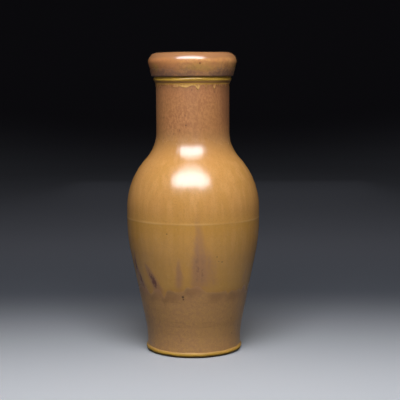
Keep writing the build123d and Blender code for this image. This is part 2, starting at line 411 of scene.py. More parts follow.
# the ochre pour: where it ends, and the streaks where it ran thin
pour = {
    "thickness": 0.00018,
    "sunk": 0.00006,  # its edges end this far below the face of the base coat
    "edge": 0.079,
    "edgeWave": 0.0008,
    "edgeSoft": 0.008,  # its colour comes up over this height
    "paleTop": (0.22, 0.292),  # and goes out between these
    "rise": 0.013,  # its thickness comes up over this height
    "fadeTop": (0.236, 0.268),  # and goes out between these
    # (degrees, half width in degrees, drop of the edge)
    "tongues": [
        (-31, 3.0, 0.009), (-50, 4.5, 0.007), (-6, 3.0, -0.004), (30, 16, 0.002), (48, 5, 0.003),
        (72, 5, 0.009), (37, 2.2, 0.0035), (57, 2.6, 0.004), (101, 7, 0.006), (131, 4, 0.012),
        (163, 8, 0.004), (-164, 5, 0.01), (-140, 6, 0.003), (-111, 4, 0.011), (-82, 7, 0.007),
        (88, 6, -0.003), (3, 8, -0.006),
    ],
    "streakWave": 0.0008,
    "streakWidth": (0.38, 0.62),  # share of the width at the top, and what it gains on the way down
    "streakStart": (0.02, 0.5),  # a streak comes up and goes out between these shares of its length
    "streakEnd": (0.74, 1.08),
    # places along the streak from top to foot (degrees, height), half width, strength: 1 is darkest
    "streaks": [
        (((4.5, 0.2), (5, 0.14), (4, 0.112), (3, 0.097), (1, 0.074)), 0.0088, 0.58),
        (((11, 0.148), (13, 0.11), (14, 0.08)), 0.015, 0.46),
        (((-13.5, 0.134), (-12.5, 0.078)), 0.0056, 0.56),
        (((-49.5, 0.119), (-46, 0.104), (-41, 0.0905), (-36, 0.079), (-33, 0.07)), 0.0098, 0.66),
        (((-50, 0.119), (-49, 0.1135), (-44.5, 0.101), (-41, 0.09), (-38, 0.082)), 0.0054, 0.95),
        (((-66, 0.136), (-69.5, 0.109), (-65.5, 0.093), (-59, 0.072)), 0.01, 0.55),
        (((-66, 0.136), (-68.5, 0.109), (-64, 0.093), (-57, 0.07)), 0.0046, 0.8),
        (((-96, 0.114), (-93, 0.072)), 0.0052, 0.7),
        (((-127, 0.152), (-125, 0.11), (-124, 0.076)), 0.008, 0.62),
        (((-155, 0.116), (-151, 0.074)), 0.005, 0.66),
        (((178, 0.14), (180, 0.104), (-179, 0.074)), 0.007, 0.8),
        (((150, 0.112), (148, 0.076)), 0.0052, 0.6),
        (((118, 0.148), (117, 0.108), (115, 0.078)), 0.0085, 0.62),
        (((88, 0.116), (86, 0.072)), 0.0056, 0.9),
        (((60, 0.118), (57, 0.08)), 0.0056, 0.3),
    ],
}


def pourEdge(turns):
    edge = pour["edge"] + pour["edgeWave"] * ripples(turns, 21, (7, 26))
    for center, half, drop in pour["tongues"]:
        edge -= drop * near(turns, center, half)
    return edge


def pourStreaks(turns, heights):
    left = np.ones(np.shape(turns))
    reach = onClay(heights)[0]
    wander = pour["streakWave"] * waves(turns, heights, 22, (3, 9), (12, 40))
    narrow, gain = pour["streakWidth"]
    for places, half, strength in pour["streaks"]:
        levels = [level for _, level in places]
        sides = [places[0][0] + apart(side, places[0][0]) for side, _ in places]
        center = np.interp(heights, levels[::-1], sides[::-1])
        down = (levels[0] - heights) / (levels[0] - levels[-1])
        across = np.radians(apart(turns, center)) * reach + wander
        width = half * (narrow + gain * np.clip(down * 1.25, 0, 1) ** 1.2)
        mark = bell(across, width, 2.4)
        mark *= smooth(down, *pour["streakStart"]) * (1 - smooth(down, *pour["streakEnd"]))
        left *= 1 - strength * mark
    return 1 - left


def pourDepth(turns, heights, soft, fade):
    edge = pourEdge(turns)
    return smooth(heights, edge, edge + soft) * (1 - smooth(heights, *fade))


# marks in the colour of the body glaze
bodyMarks = {
    "beltHalf": 0.0014,
    "lineHalf": 0.0009,
    "shadeStart": 0.0004,  # shade on the neck below the honey skirt
    "shadeReaches": (0.0024, 0.009),
    "hemLift": 0.001,  # dark hem along the edge of the pour
    "hemAbove": 0.0036,
    "hemBelow": 0.0085,
    "neckShadeHeights": (0.262, 0.29),  # painted shade on the upper neck, on the right seen from the front
    "neckShadeTurn": 66,  # degrees
    "neckShadeHalf": 22,
}


def paintGlaze(shell, turns, heights):
    marks = bodyMarks
    paint(shell, "ochre", pourDepth(turns, heights, pour["edgeSoft"], pour["paleTop"]))
    paint(shell, "streak", pourStreaks(turns, heights))
    belt = bell(heights - bodyForm["ridgeMiddle"], marks["beltHalf"])
    belt *= 0.75 + 0.25 * ripples(turns, 31, (3, 14))
    paint(shell, "belt", belt)
    lines = np.zeros(np.shape(turns))
    for height, _ in throwing["lines"]:
        lines += 0.5 * bell(heights - lineLevel(height, turns), marks["lineHalf"])
    lines *= 0.6 + 0.4 * ripples(turns, 32, (2, 11))
    # painted shade on the neck just below the honey skirt, added into the lines layer
    below = np.clip(skirtLine(turns)[0] + marks["shadeStart"] - heights, 0, None)
    for reach in marks["shadeReaches"]:
        lines += (below > 0) * 0.5 * np.exp(-below / reach)
    paint(shell, "lines", lines)
    above = heights - pourEdge(turns) + marks["hemLift"]
    hem = np.where(above > 0, bell(above, marks["hemAbove"]), bell(above, marks["hemBelow"]))
    paint(shell, "hem", hem * (0.75 + 0.25 * ripples(turns, 33, (3, 17))))
    # painted shade on the upper neck, on the right seen from the front
    paintedNeckShade = near(turns, marks["neckShadeTurn"], marks["neckShadeHalf"])
    paint(shell, "paintedNeckShade", smooth(heights, *marks["neckShadeHeights"]) * paintedNeckShade)


# burst bubbles in the glaze
glazePits = {
    "face": 0.0006,  # from the clay to the face of the glaze
    # (degrees, height, radius)
    "places": [
        (-10.5, 0.0757, 0.0021), (-10.2, 0.0727, 0.0013), (-22.1, 0.1513, 0.001), (21, 0.1241, 0.001),
        (26.2, 0.1175, 0.0011), (23, 0.1185, 0.0008), (-10, 0.275, 0.0011), (-52, 0.283, 0.001),
        (96, 0.112, 0.0012), (171, 0.094, 0.0014), (-118, 0.131, 0.0011), (140, 0.205, 0.0009),
        (-150, 0.288, 0.0011),
    ],
}


def glazePlace(turn, height):
    angle = math.radians(turn)
    reach = float(onClay(height)[0]) + glazePits["face"]
    return (reach * math.sin(angle), -reach * math.cos(angle), height)


# one glaze material for body and pour: salmon below and on the neck, ochre where the pour lies
def bodyGlazeMaterial():
    material, tree, shader, space = newMaterial("runnyOchreGlaze")
    level = added(tree, "SeparateXYZ", {0: space}).outputs["Z"]
    cloud = noise(tree, space, 24, 3, 0.5, 0.5)
    runs = noise(tree, space, 150, 3, 0.5, 0.07)
    dashes = noise(tree, space, 400, 3, 0.6, 0.65)
    mottle = noise(tree, space, 260, 4, 0.65)
    grain = noise(tree, space, 900, 2, 0.5)
    height = plus(tree, level, times(tree, cloud, 0.016))

    low = layered(tree, (0.485, 0.252, 0.114), (
        (mottle, 0.34, 0.66, (0.565, 0.314, 0.116)),
        (cloud, 0.42, 0.7, (0.525, 0.286, 0.102), 0.5),
        (grain, 0.52, 0.7, (0.41, 0.21, 0.1), 0.7),
    ))
    neck = layered(tree, (0.435, 0.172, 0.066), (
        (dashes, 0.34, 0.66, (0.625, 0.288, 0.116)),
        (cloud, 0.4, 0.68, (0.52, 0.24, 0.08), 0.45),
        (height, 0.3, 0.336, (0.53, 0.215, 0.1), 0.4),
        (grain, 0.5, 0.7, (0.44, 0.18, 0.07), 0.6),
        # painted shade on the right side of the upper neck
        ("paintedNeckShade", 0.0, 1.0, (0.33, 0.135, 0.06), 0.7),
    ))
    base = blended(tree, ranged(tree, height, 0.246, 0.286), low, neck)

    upper = layered(tree, (0.67, 0.332, 0.088), (
        (cloud, 0.35, 0.68, (0.71, 0.348, 0.108)),
        (runs, 0.42, 0.64, (0.74, 0.374, 0.118)),
        (level, 0.218, 0.262, (0.53, 0.25, 0.082), 0.85),
    ))
    lower = layered(tree, (0.62, 0.311, 0.062), (
        (cloud, 0.35, 0.68, (0.64, 0.321, 0.076)),
        (runs, 0.42, 0.64, (0.67, 0.338, 0.08)),
        (level, 0.13, 0.08, (0.585, 0.315, 0.076), 0.8),
    ))
    seam = bodyForm["ridgeMiddle"]
    shade = toned(tree, level, seam - 0.018, seam - 0.001, lower, (0.61, 0.306, 0.062), 0.6)
    upper = toned(tree, level, seam + 0.02, seam, upper, (0.68, 0.344, 0.082), 0.7)
    gold = layered(tree, shade, (
        (level, seam - 0.0008, seam + 0.0004, upper),
        (dashes, 0.5, 0.7, (0.52, 0.245, 0.065), 0.25),
        (grain, 0.5, 0.7, (0.5, 0.24, 0.06), 0.4),
        (mottle, 0.5, 0.72, (0.66, 0.36, 0.12), 0.4),
    ))

    ragged = noise(tree, space, 90, 4, 0.6, 0.5)
    spread = plus(tree, "ochre", times(tree, ragged, 0.6))
    covered = ranged(tree, spread, 0.42, 1.1)
    base = toned(tree, "hem", 0.0, 1.0, base, (0.31, 0.15, 0.066), 0.6)
    mixed = blended(tree, covered, base, gold)
    thin = times(tree, "streak", ranged(tree, runs, 0.3, 0.65, 0.75, 1.1))
    thin = times(tree, thin, ranged(tree, mottle, 0.3, 0.7, 0.8, 1.15))
    mixed = layered(tree, mixed, (
        (thin, 0.04, 0.62, (0.455, 0.222, 0.104), 0.85),
        (thin, 0.58, 0.95, (0.14, 0.046, 0.035), 0.92),
        ("belt", 0.1, 1.0, (0.78, 0.47, 0.17), 0.55),
        # throwing lines, and the painted shade on the neck below the honey skirt
        ("lines", 0.1, 1.0, (0.28, 0.13, 0.05), 0.45),
    ))
    iron = specks(tree, stretched(tree, space, (1, 1, 0.5)), 150, 0.15, 0.45)
    iron = times(tree, iron, ranged(tree, covered, 0.2, 0.9, 0.6, 0.12))
    mixed = blended(tree, iron, mixed, (0.22, 0.09, 0.045))
    pits = 0.0
    for turn, place, size in glazePits["places"]:
        pits = mathNode(tree, "MAXIMUM", pits, spotAt(tree, space, glazePlace(turn, place), size))
    mixed = blended(tree, times(tree, pits, 0.8), mixed, (0.045, 0.022, 0.014))

    rough = ranged(tree, covered, 0.0, 1.0, 0.36, 0.215)
    rough = plus(tree, rough, ranged(tree, mottle, 0.3, 0.8, -0.02, 0.04))
    fill(tree, shader, {"Specular IOR Level": ranged(tree, level, 0.06, 0.13, 0.22, 0.5)})
    relief = times(tree, grain, 0.25)
    relief = plus(tree, relief, times(tree, mottle, 0.5))
    relief = mathNode(tree, "SUBTRACT", relief, pits)
    bumped(tree, shader, relief, 0.3, 0.0001)
    glazed(tree, shader, mixed, rough, 1.5)
    return material


# salmon coat over the whole outside
baseCoat = {
    "low": 0.0018,
    "top": 0.32553,
    "thickness": 0.0005,
    "spacings": (0.0008, 0.0016, 0.0006, 0.0022, 0.0012),
    "backSpacings": (0.006, 0.006, 0.006, 0.004, 0.012),
    "columns": 272,
    "overRidge": 0.0001,  # thickness over the top of the slip ridge
}


def makeBaseGlaze(material):
    form = baseCoat
    front = bodyOutline(form["low"], form["top"], form["spacings"])
    back = bodyOutline(form["low"], form["top"], form["backSpacings"])[::-1]
    loop = np.concatenate([lifted(front, form["thickness"]), lifted(back, 0.0)])
    shell, rows, turns = spinShell("baseGlaze", loop, form["columns"])
    facing = rows < len(front)
    clay = np.concatenate([front, back])[rows]
    lift = form["thickness"] + throwingRings(turns, clay[:, 1])
    lift = np.maximum(lift, seamRidge(clay[:, 1]) + form["overRidge"])
    lift = np.where(facing, lift, 0.0)
    movePoints(shell, *lifted(clay, lift[:, None]).T, turns)
    paintGlaze(shell, turns, clay[:, 1])
    finishPiece(shell, material, "salmon_glaze", "base_glaze")


# ochre coat: its lower edge follows the tongues, and there and at its top it sinks into the base coat
ochreCoat = {
    "low": 0.07,
    "top": 0.266,
    "fixed": 0.13,  # rows above this height don't follow the lower edge
    "rows": 190,
    "beltRows": 14,  # closer rows over the belt line
    "beltHalf": 0.0026,
    "beltClear": 0.0029,  # the other rows keep this far from its middle
    "backRows": 28,
    "columns": 336,
    "hang": 0.0012,  # the lowest row is this far below the edge of the pour
    "ripple": 0.00002,
    "sink": 0.00016,  # the back lies this far inside the base coat
    "backRoom": 0.0001,
}


def makeOchreGlaze(material):
    form = ochreCoat
    span = form["top"] - form["low"]
    levels = form["low"] + span * np.linspace(0, 1, form["rows"])
    middle, half = bodyForm["ridgeMiddle"], form["beltHalf"]
    belt = middle + np.linspace(-half, half, form["beltRows"])
    clear = np.abs(levels - middle) > form["beltClear"]
    levels = np.sort(np.concatenate([levels[clear], belt]))
    backLevels = form["top"] - span * np.linspace(0, 1, form["backRows"])
    heights = np.concatenate([levels, backLevels])
    inFront = np.arange(len(heights)) < len(levels)
    reach, outR, outZ = onClay(heights)
    lift = baseCoat["thickness"] + np.where(inFront, pour["thickness"], -form["sink"])
    loop = np.stack([reach + outR * lift, heights + outZ * lift], axis=1)
    shell, rows, turns = spinShell("ochreGlaze", loop, form["columns"])
    level = heights[rows]
    edge = pourEdge(turns) - form["hang"]
    share = (level - form["low"]) / (form["fixed"] - form["low"])
    level = np.where(share < 1, edge + share * (form["fixed"] - edge), level)
    reach, outR, outZ = onClay(level)
    ground = baseCoat["thickness"] + throwingRings(turns, level)
    ground += bodyForm["ridgeShows"] * seamRidge(level)
    depth = pourDepth(turns, level, pour["rise"], pour["fadeTop"])
    thick = -pour["sunk"] + (pour["thickness"] + pour["sunk"]) * depth
    thick += form["ripple"] * depth * waves(turns, level, 41, (20, 60), (3, 14))
    behind = ground - form["sink"] - form["backRoom"]
    lift = np.where(inFront[rows], ground + thick, behind)
    movePoints(shell, reach + outR * lift, level + outZ * lift, turns)
    paintGlaze(shell, turns, level)
    finishPiece(shell, material, "ochre_glaze", "ochre_glaze")


# rolled rim
rimForm = {
    "mouthRadius": 0.0371,
    "radius": 0.0525,
    "base": 0.33193,
    "top": 0.35943,
    "lip": 0.0045,
    "corner": 0.0105,
    "ledge": 0.005,
    "edge": 0.0014,  # radius of the worn lower edge
    "coat": 0.0006,
    "columns": 288,
    "spacing": 0.0006,
    "wave": 0.0001,
    "inset": 0.0001,  # keeps the waves inside the coat of the frame
}

# marks in the colour of the rim glaze: heights, and (degrees, half width, amount) round the rim
rimMarks = {
    "speck": (0.009, -0.0518, 0.3468),  # place of the large pit
    "uneven": 0.0005,
    "under": (0.3308, 0.3345),  # painted shade on the underside
    "thin": (0.349, 0.3565),  # thin coat on the crown
    "rosyTurns": (-34, 4),  # pink on the left, going out between these
    "rosyFront": 95,  # patches of it beyond this turn
    "olive": (0.3415, 0.005),  # middle and half width
    "oliveAt": (12, 28),
    "oliveFront": 50,
    "plumAndPaintedShade": (0.3335, 0.349),  # plum glaze on the lower part, with painted shade darkening it towards the bottom
    "plumShadePeak": (-11, 11, 0.0035),
    "plumShadePale": (10, 16, 0.25),
    "plumShadeDeep": (66, 26, 0.3),
}


def rimOutline(offset):
    # lip, crown, round edge, leaning flank, worn lower edge and underside
    form = rimForm
    spacing = form["spacing"]
    neckRadius = bodyForm["neckRadius"]
    lipCenter = (form["mouthRadius"] + form["lip"], form["top"] - form["lip"])
    cornerCenter = (form["radius"] - form["corner"], form["top"] - form["corner"])
    across = cornerCenter[0] - neckRadius - form["ledge"]
    rise = cornerCenter[1] - form["base"]
    lean = math.asin(form["corner"] / math.hypot(across, rise)) + math.atan2(across, rise)
    inward = form["edge"] * (1 / math.cos(lean) - math.tan(lean))
    edgeCenter = (neckRadius + form["ledge"] - inward, form["base"] + form["edge"])
    flank = -math.degrees(lean)
    lip = sweep(lipCenter, form["lip"] + offset, 180, 90, spacing)
    corner = sweep(cornerCenter, form["corner"] + offset, 90, flank, spacing)
    edge = sweep(edgeCenter, form["edge"] + offset, flank, -90, spacing)
    return joined(
        lip,
        straight(lip[-1][:2], corner[0][:2], (0, 1), spacing),
        corner,
        straight(corner[-1][:2], edge[0][:2], (math.cos(lean), -math.sin(lean)), spacing),
        edge,
        straight(edge[-1][:2], (neckRadius, form["base"] - offset), (0, -1), spacing),
    )


def rimMaterial():
    material, tree, shader, space = newMaterial("salmonRimGlaze")
    dashes = noise(tree, space, 420, 3, 0.55, 0.4)
    mottle = noise(tree, space, 260, 5, 0.62)
    cloud = noise(tree, space, 55, 3, 0.5)
    tone = layered(tree, (0.73, 0.34, 0.115), (
        (cloud, 0.36, 0.66, (0.82, 0.42, 0.15)),
        ("rosy", 0.0, 1.0, (0.67, 0.28, 0.1), 0.9),
        (mottle, 0.4, 0.7, (0.6, 0.23, 0.1), 0.7),
        ("thin", 0.0, 1.0, (0.4, 0.185, 0.082), 0.9),
    ))
    olive = times(tree, "olive", ranged(tree, dashes, 0.3, 0.65, 0.5, 1.0))
    tone = toned(tree, olive, 0.1, 1.0, tone, (0.62, 0.36, 0.085), 0.7)
    # plum glaze with painted shade on the lower part of the rim
    plumAndPaintedShade = times(tree, "plumAndPaintedShade", ranged(tree, mottle, 0.3, 0.65, 0.6, 1.0))
    tone = layered(tree, tone, (
        (plumAndPaintedShade, 0.0, 1.0, (0.2, 0.105, 0.068), 0.9),
        # painted shade on the underside of the rim
        ("under", 0.0, 1.0, (0.22, 0.115, 0.07), 0.7),
    ))
    iron = specks(tree, space, 130, 0.13, 0.3)
    tone = blended(tree, times(tree, iron, 0.45), tone, (0.28, 0.1, 0.05))
    spot = spotAt(tree, space, rimMarks["speck"], 0.0017)
    tone = blended(tree, times(tree, spot, 0.7), tone, (0.22, 0.05, 0.025))
    rough = times(tree, "plumAndPaintedShade", 0.5)
    rough = plus(tree, rough, "under")
    rough = ranged(tree, rough, 0.0, 1.0, 0.2, 0.6)
    rough = plus(tree, rough, ranged(tree, mottle, 0.3, 0.8, -0.02, 0.04))
    bumped(tree, shader, mottle, 0.25, 0.0001)
    glazed(tree, shader, tone, rough, 1.5)
    return material


def makeRimGlaze():
    marks = rimMarks
    front = rimOutline(rimForm["coat"])
    back = rimOutline(0.0)[::-3]
    points = np.concatenate([front, back])
    shell, rows, turns = spinShell("rimGlaze", points[:, :2], rimForm["columns"])
    line = points[rows]
    level = line[:, 1]
    lift = rimForm["wave"] * waves(turns, level, 51, (2, 7), (4, 20), 5)
    lift = np.where(rows < len(front), lift - rimForm["inset"], 0.0)
    movePoints(shell, *lifted(line, lift[:, None]).T, turns)
    away = np.abs(apart(turns, 0))
    uneven = marks["uneven"] * ripples(turns, 52, (2, 9))
    # painted shade on the underside of the rim
    paint(shell, "under", 1 - smooth(level + uneven, *marks["under"]))
    paint(shell, "thin", smooth(level + uneven, *marks["thin"]))
    patches = 0.5 + 0.4 * ripples(turns, 54, (2, 6))
    rosy = 1 - smooth(turns, *marks["rosyTurns"])
    paint(shell, "rosy", np.where(away > marks["rosyFront"], patches, rosy))
    patches = 0.5 + 0.4 * ripples(turns, 53, (2, 9))
    olive = bell(level - marks["olive"][0] + uneven, marks["olive"][1])
    olive *= np.clip(patches * (away > marks["oliveFront"]) + near(turns, *marks["oliveAt"]), 0, 1)
    paint(shell, "olive", olive)
    # plum glaze and painted shade on the lower part of the rim, darker towards the bottom
    peak, pale, deep = (
        amount * near(turns, center, half)
        for center, half, amount in (marks["plumShadePeak"], marks["plumShadePale"], marks["plumShadeDeep"])
    )
    low, high = marks["plumAndPaintedShade"]
    plumAndPaintedShade = 1 - smooth(level + 2 * uneven, low, high + peak)
    paint(shell, "plumAndPaintedShade", plumAndPaintedShade * np.clip(0.85 - pale + 0.1 * patches + deep, 0, 1))
    finishPiece(shell, rimMaterial(), "salmon_glaze", "rim_glaze")


makeRimGlaze()


# honey coat over the bead, with its skirt and drips on the neck
collarForm = {
    "beadMiddle": 0.32803,
    "beadHalf": 0.0019,
    "beadStem": 0.0007,
    "coat": 0.0006,
    "shown": (42, -12),  # degrees of the bead's round that the coat follows
    "groove": (0.0029, 0.33122),  # how far out from the neck and how high the pooled glaze goes
    "grooveRows": 5,
    "coveRows": 11,
    # middle and half height of the painted shade on the bead's underside and in the cove below it
    "coveMiddle": 0.3251,
    "coveHalf": 0.0017,
    "skirtTop": 0.3232,
    "skirtEdge": 0.3209,
    "skirtCoat": 0.0005,
    "skirtWave": 0.00022,
    "skirtRows": 30,
    "backRows": 8,
    "rowSpan": 0.0045,  # the skirt's rows are laid over this height, then follow the drips
    "tuck": 0.0001,  # how far the back and the face of the skirt go into the base coat
    "sink": 0.00004,
    "swell": 0.0003,  # fuller ends of the drips
    "sway": 0.00022,
    "swayStart": (0.3236, 0.3268),  # heights between which the sway comes up and goes out
    "swayEnd": (0.329, 0.331),
    "ripple": 0.0001,
    "honey": (-6, 20),  # thick glaze in front: middle and half width in degrees
    "front": 70,  # patches of it beyond this turn
    "columns": 360,
    # (degrees, half width in metres, length)
    "drips": [
        (8.6, 0.0021, 0.005), (-12, 0.0052, 0.0027), (-27, 0.0056, 0.0026), (21.5, 0.0015, 0.0036),
        (35.5, 0.0021, 0.0038), (51, 0.0022, 0.0028), (-42, 0.0018, 0.0012), (-60, 0.0024, 0.003),
        (-68, 0.0018, 0.0036), (-88, 0.004, 0.0018), (-104, 0.002, 0.0028), (-122, 0.0046, 0.002),
        (-140, 0.0023, 0.0044), (-158, 0.0038, 0.0016), (-176, 0.002, 0.003), (165, 0.0046, 0.0018),
        (147, 0.0024, 0.005), (130, 0.004, 0.0016), (112, 0.002, 0.003), (96, 0.0036, 0.0014),
        (80, 0.0023, 0.0046), (66, 0.0032, 0.002),
    ],
}


def skirtLine(turns):
    reach = bodyForm["neckRadius"]
    edge = collarForm["skirtEdge"] + collarForm["skirtWave"] * ripples(turns, 61, (5, 30))
    fall = np.zeros(np.shape(turns))
    for center, half, length in collarForm["drips"]:
        fall = np.maximum(fall, length * bell(np.radians(apart(turns, center)) * reach, half, 2.6))
    return edge - fall, fall


def skirtPoints(radius, count):
    top, span = collarForm["skirtTop"], collarForm["rowSpan"]
    return [(radius, top - span * step / count) for step in range(count + 1)]


def collarMaterial():
    material, tree, shader, space = newMaterial("honeyCollarGlaze")
    mottle = noise(tree, space, 420, 4, 0.58, 0.3)
    cloud = noise(tree, space, 70, 3, 0.5)
    bead = toned(tree, cloud, 0.36, 0.66, (0.74, 0.43, 0.058), (0.84, 0.51, 0.08))
    skirt = toned(tree, mottle, 0.34, 0.66, (0.42, 0.18, 0.07), (0.58, 0.28, 0.11))
    honey = times(tree, "honey", ranged(tree, mottle, 0.3, 0.65, 0.6, 1.0))
    skirt = toned(tree, honey, 0.0, 1.0, skirt, (0.76, 0.45, 0.135), 0.9)
    tone = blended(tree, "skirt", bead, skirt)
    # painted shade on the bead's underside and in the cove below it
    tone = toned(tree, "paintedCoveShade", 0.0, 1.0, tone, (0.36, 0.155, 0.06), 0.88)
    rough = ranged(tree, "paintedCoveShade", 0.0, 1.0, 0.27, 0.5)
    rough = plus(tree, rough, ranged(tree, mottle, 0.3, 0.8, -0.03, 0.06))
    bumped(tree, shader, mottle, 0.25, 0.00008)
    glazed(tree, shader, tone, rough, 1.4)
    return material


def makeCollarGlaze():
    form = collarForm
    neckRadius = bodyForm["neckRadius"]
    ground = neckRadius + baseCoat["thickness"]
    face = ground + form["skirtCoat"]
    center = (neckRadius + form["beadStem"], form["beadMiddle"])
    over = sweep(center, form["beadHalf"] + form["coat"], *form["shown"], 0.00032)
    over = [point[:2] for point in over]
    # glaze drawn up into the groove under the rim
    out, high = form["groove"]
    top = [(neckRadius, high), (neckRadius + out / 2, high)]
    for step in range(form["grooveRows"]):
        share = step / form["grooveRows"]
        radius = neckRadius + out + (over[0][0] - neckRadius - out) * share ** 2
        top.append((radius, high + (over[0][1] - high) * share))
    # glaze pooled in the cove between bead and skirt
    start = over[-1]
    for step in range(1, form["coveRows"]):
        share = step / form["coveRows"]
        radius = face + (start[0] - face) * (1 - share) ** 1.15
        over.append((radius, start[1] + (form["skirtTop"] - start[1]) * share))
    skirt = skirtPoints(face, form["skirtRows"])
    hidden = skirtPoints(ground - form["tuck"], form["backRows"])[::-1]
    inner = [point[:2] for point in sweep(center, form["beadHalf"], -90, 90, 0.0006)]
    line = np.array(top + over + skirt + hidden + inner)
    skirtStart = len(top) + len(over)
    hiddenStart = skirtStart + len(skirt)
    innerStart = hiddenStart + len(hidden)
    shell, rows, turns = spinShell("collarGlaze", line, form["columns"])
    radius, height = line[rows, 0], line[rows, 1]
    edge, fall = skirtLine(turns)
    down = np.clip((form["skirtTop"] - height) / form["rowSpan"], 0, 1)
    onBead = rows < skirtStart
    onSkirt = (rows >= skirtStart) & (rows < hiddenStart)
    onBack = (rows >= hiddenStart) & (rows < innerStart)
    height = np.where(onSkirt | onBack, form["skirtTop"] - down * (form["skirtTop"] - edge), height)
    swell = form["swell"] * smooth(fall, 0.001, 0.004)
    film = form["skirtCoat"] * (1 - 0.55 * down) + swell * bell(down - 0.8, 0.16)
    film *= 1 - smooth(down, 0.86, 1.02)
    radius = np.where(onSkirt, ground + film - form["sink"], radius)
    sway = form["sway"] * ripples(turns, 62, (2, 6), 4)
    sway *= smooth(height, *form["swayStart"]) * (1 - smooth(height, *form["swayEnd"]))
    ripple = form["ripple"] * waves(turns, height, 63, (4, 15), (30, 90))
    radius += np.where(onBead & (rows > 1), ripple, 0.0)
    height += np.where(onBead | (rows >= innerStart), sway, 0.0)
    movePoints(shell, radius, height, turns)
    # painted shade on the bead's underside and in the cove below it
    paintedCoveShade = bell(height - form["coveMiddle"], form["coveHalf"])
    paint(shell, "paintedCoveShade", paintedCoveShade * (rows < hiddenStart))
    paint(shell, "skirt", smooth(form["skirtTop"] - height, -0.0002, 0.0012))
    honey = np.maximum(near(turns, *form["honey"], 4), 0.8 * smooth(fall, 0.0024, 0.0042))
    patches = 0.25 + 0.25 * ripples(turns, 64, (3, 9))
    honey = np.maximum(honey, patches * (np.abs(apart(turns, 0)) > form["front"]))
    paint(shell, "honey", onSkirt * honey * smooth(down, 0.1, 0.45))
    finishPiece(shell, collarMaterial(), "honey_glaze", "collar_glaze")


bodyGlaze = bodyGlazeMaterial()
makeBaseGlaze(bodyGlaze)
makeOchreGlaze(bodyGlaze)
makeCollarGlaze()


# thick roll of glaze round the foot
footForm = {
    "low": 0.0015,
    "height": 0.0052,
    "roll": 0.0017,
    "columns": 360,
    "rows": 26,
    "backSpacing": 0.0013,
    "tuck": 0.0002,  # how far its back goes into the base coat
    "fuller": (0.06, 0.02),  # unevenness of the roll in long and short waves
    "upperWave": 0.00014,
    "lowerWave": 0.0001,
    "lowerLift": 0.0001,
}


def footMaterial():
    material, tree, shader, space = newMaterial("honeyFootGlaze")
    streaky = noise(tree, space, 240, 5, 0.62, 0.4)
    cloud = noise(tree, space, 60, 4, 0.55)
    tone = layered(tree, (0.59, 0.335, 0.045), (
        (cloud, 0.35, 0.7, (0.69, 0.4, 0.065)),
        (streaky, 0.5, 0.75, (0.62, 0.32, 0.08), 0.6),
        ("crest", 0.0, 1.0, (0.44, 0.24, 0.075), 0.8),
        # painted shadow along the lower edge of the roll, next to the floor
        ("edge", 0.0, 1.0, (0.25, 0.12, 0.04), 0.6),
    ))
    bumped(tree, shader, streaky, 0.2, 0.00008)
    glazed(tree, shader, tone, ranged(tree, streaky, 0.3, 0.8, 0.5, 0.62), 1.3)
    return material


def makeFootGlaze():
    form = footForm
    face = bodyForm["waistRadius"] + baseCoat["thickness"]
    half = form["height"] / 2
    bulge = (half ** 2 + form["roll"] ** 2) / (2 * form["roll"])
    halfTurn = math.degrees(math.asin(half / bulge))
    center = (face + form["roll"] - bulge, form["low"] + half)
    front = sweep(center, bulge, -halfTurn, halfTurn, form["height"] / form["rows"])
    inner = face - form["tuck"]
    top = form["low"] + form["height"]
    back = straight((inner, top), (inner, form["low"]), (1, 0), form["backSpacing"])
    line = np.array(front + back)[:, :2]
    shell, rows, turns = spinShell("footGlaze", line, form["columns"])
    facing = rows < len(front)
    share = (line[rows, 1] - form["low"]) / form["height"]
    proud = line[rows, 0] - face
    fuller = 1 + form["fuller"][0] * ripples(turns, 71, (2, 9))
    fuller += form["fuller"][1] * ripples(turns, 72, (12, 30))
    radius = np.where(facing, face + proud * np.clip(fuller, 0.7, 1.2), line[rows, 0])
    upper = form["upperWave"] * ripples(turns, 73, (3, 14))
    lower = form["lowerWave"] * ripples(turns, 74, (5, 24))
    height = line[rows, 1] + share * upper + (1 - share) * (form["lowerLift"] + lower)
    movePoints(shell, radius, height, turns)
    # painted shadow along the lower edge of the roll, next to the floor
    paint(shell, "edge", 1 - smooth(share, 0.0, 0.2))
    paint(shell, "crest", smooth(share, 0.55, 0.95))
    finishPiece(shell, footMaterial(), "honey_glaze", "foot_glaze")


makeFootGlaze()


# liner inside
linerForm = {
    "coat": 0.0005,
    "pool": 0.005,
    "top": 0.35343,
    "spacings": (0.0022, 0.0026, 0.002, 0.0026, 0.0024),
    "floorSpacing": 0.0035,
    "poolSpacing": 0.0012,
    "backSpacing": 0.012,
    "ring": 0.00022,
    "pitch": 0.0118,
    "ringStart": (0.02, 0.04),  # heights between which the rings come up and go out
    "ringEnd": (0.345, 0.353),
    "columns": 216,
}


def linerMaterial():
    material, tree, shader, space = newMaterial("tanLinerGlaze")
    fine = noise(tree, space, 60, 5, 0.6, 1.8)
    mottle = noise(tree, space, 170, 6, 0.66)
    tone = layered(tree, (0.44, 0.215, 0.085), (
        (fine, 0.35, 0.7, (0.51, 0.262, 0.102)),
        (mottle, 0.5, 0.75, (0.38, 0.19, 0.085)),
    ))
    iron = specks(tree, space, 115, 0.12, 0.3)
    tone = blended(tree, times(tree, iron, 0.6), tone, (0.16, 0.07, 0.035))
    bumped(tree, shader, mottle, 0.4, 0.00012)
    glazed(tree, shader, tone, ranged(tree, mottle, 0.3, 0.8, 0.26, 0.4), 1.5)
    return material


